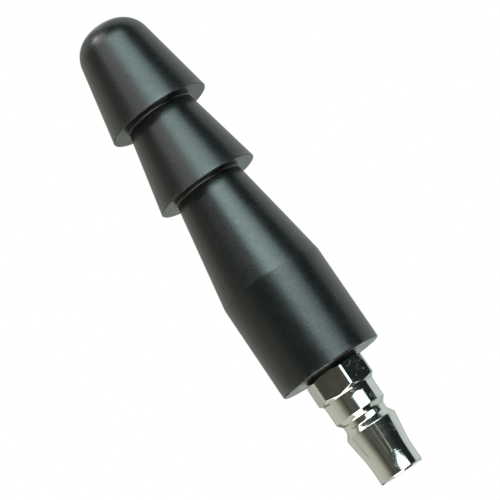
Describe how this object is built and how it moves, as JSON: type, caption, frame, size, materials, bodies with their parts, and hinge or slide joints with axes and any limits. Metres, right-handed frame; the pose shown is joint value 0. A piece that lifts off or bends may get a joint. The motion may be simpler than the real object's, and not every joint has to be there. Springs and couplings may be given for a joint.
{
  "type": "stepped coupler adapter",
  "caption": "Tiered black push-fit adapter with a straight barrel, screwed onto a chromed quick-coupler plug with a hexagon, ball groove and tapered nose.",
  "frame": {"origin": "centre of the coupler plug's nose end, where the upright object would stand", "axes": "+Z along the common axis from the nose end to the domed tip; one hexagon corner points 44 degrees from +X towards +Y"},
  "size_m": [0.0272, 0.0272, 0.1323],
  "materials": {
    "chrome_plug": "bright chrome plate with fine handling scratches",
    "black_rubber": "matt black rubber",
    "brass": "bright machined brass",
    "black_body": "smooth satin black"
  },
  "bodies": {
    "coupler": {"coupler_plug": "chrome_plug"},
    "seal": {"seal_ring": "black_rubber"},
    "handle": {"stepped_body": "black_body", "threaded_insert": "brass"}
  },
  "joints": [
    {"name": "unscrew_turn", "type": "hinge", "parent": "coupler", "child": "seal", "pos_m": [0, 0, 0.03], "axis": [0, 0, 1], "range_deg": [0, 2520]},
    {"name": "unscrew_lift", "type": "slide", "parent": "seal", "child": "handle", "axis": [0, 0, 1], "range_m": [0, 0.00936]}
  ],
  "couplings": [
    {"joint": "unscrew_lift", "follows": "unscrew_turn", "m_per_rad": 0.00021279}
  ]
}
